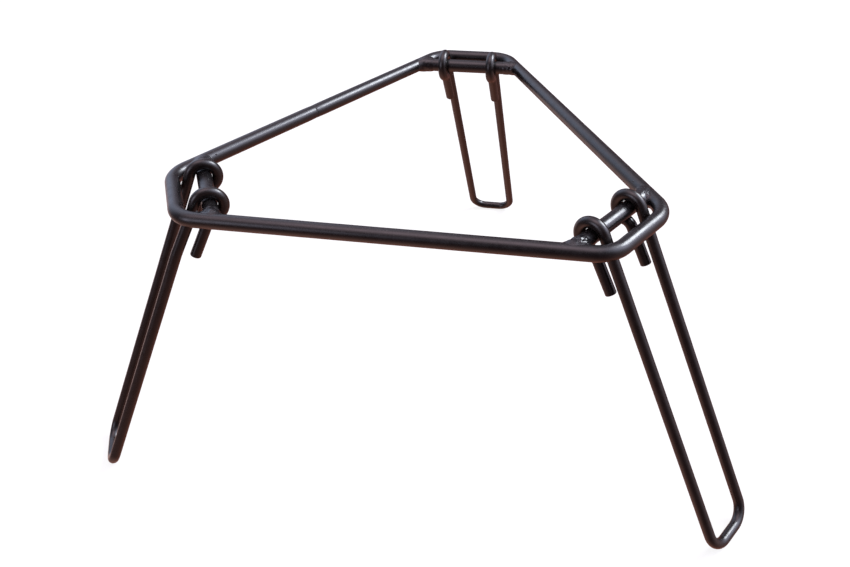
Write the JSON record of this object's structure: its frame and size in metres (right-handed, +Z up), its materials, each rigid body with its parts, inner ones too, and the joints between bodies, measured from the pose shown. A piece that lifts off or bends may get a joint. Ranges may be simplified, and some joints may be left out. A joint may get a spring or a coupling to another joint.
{
  "type": "folding wire tripod stand",
  "caption": "Triangular wire ring on hairpin legs that hang by bent eyes on cross bars in the corners, rest against the ring when spread and fold in under it.",
  "frame": {"origin": "on the plane that the three feet stand on, below the centre of the ring", "axes": "+Z up, normal to the ring; +Y towards the back corner of the ring; +X to the right"},
  "size_m": [0.2014, 0.1762, 0.0925],
  "materials": {
    "ring_paint": "semi-gloss black coat over steel wire",
    "bar_paint": "semi-gloss black coat over steel wire",
    "weld_paint": "black coat over rough weld metal",
    "leg_paint": "semi-gloss black coat over steel wire"
  },
  "bodies": {
    "stand_ring": {"ring_frame": "ring_paint", "ring_butt_weld": "ring_paint", "pivot_bar_back": "bar_paint", "bar_weld_back_a": "weld_paint", "bar_weld_back_b": "weld_paint", "pivot_bar_right": "bar_paint", "bar_weld_right_a": "weld_paint", "bar_weld_right_b": "weld_paint", "pivot_bar_left": "bar_paint", "bar_weld_left_a": "weld_paint", "bar_weld_left_b": "weld_paint"},
    "leg_back": {"leg_back": "leg_paint"},
    "leg_right": {"leg_right": "leg_paint"},
    "leg_left": {"leg_left": "leg_paint"}
  },
  "joints": [
    {"name": "leg_back_fold", "type": "hinge", "parent": "stand_ring", "child": "leg_back", "pos_m": [0, 0.0634, 0.08714], "axis": [-1, 0, 0], "range_deg": [0, 117]},
    {"name": "leg_right_fold", "type": "hinge", "parent": "stand_ring", "child": "leg_right", "pos_m": [0.05491, -0.0317, 0.08714], "axis": [0.5, 0.866, 0], "range_deg": [0, 112.7]},
    {"name": "leg_left_fold", "type": "hinge", "parent": "stand_ring", "child": "leg_left", "pos_m": [-0.05491, -0.0317, 0.08714], "axis": [0.5, -0.866, 0], "range_deg": [0, 105.8]}
  ]
}
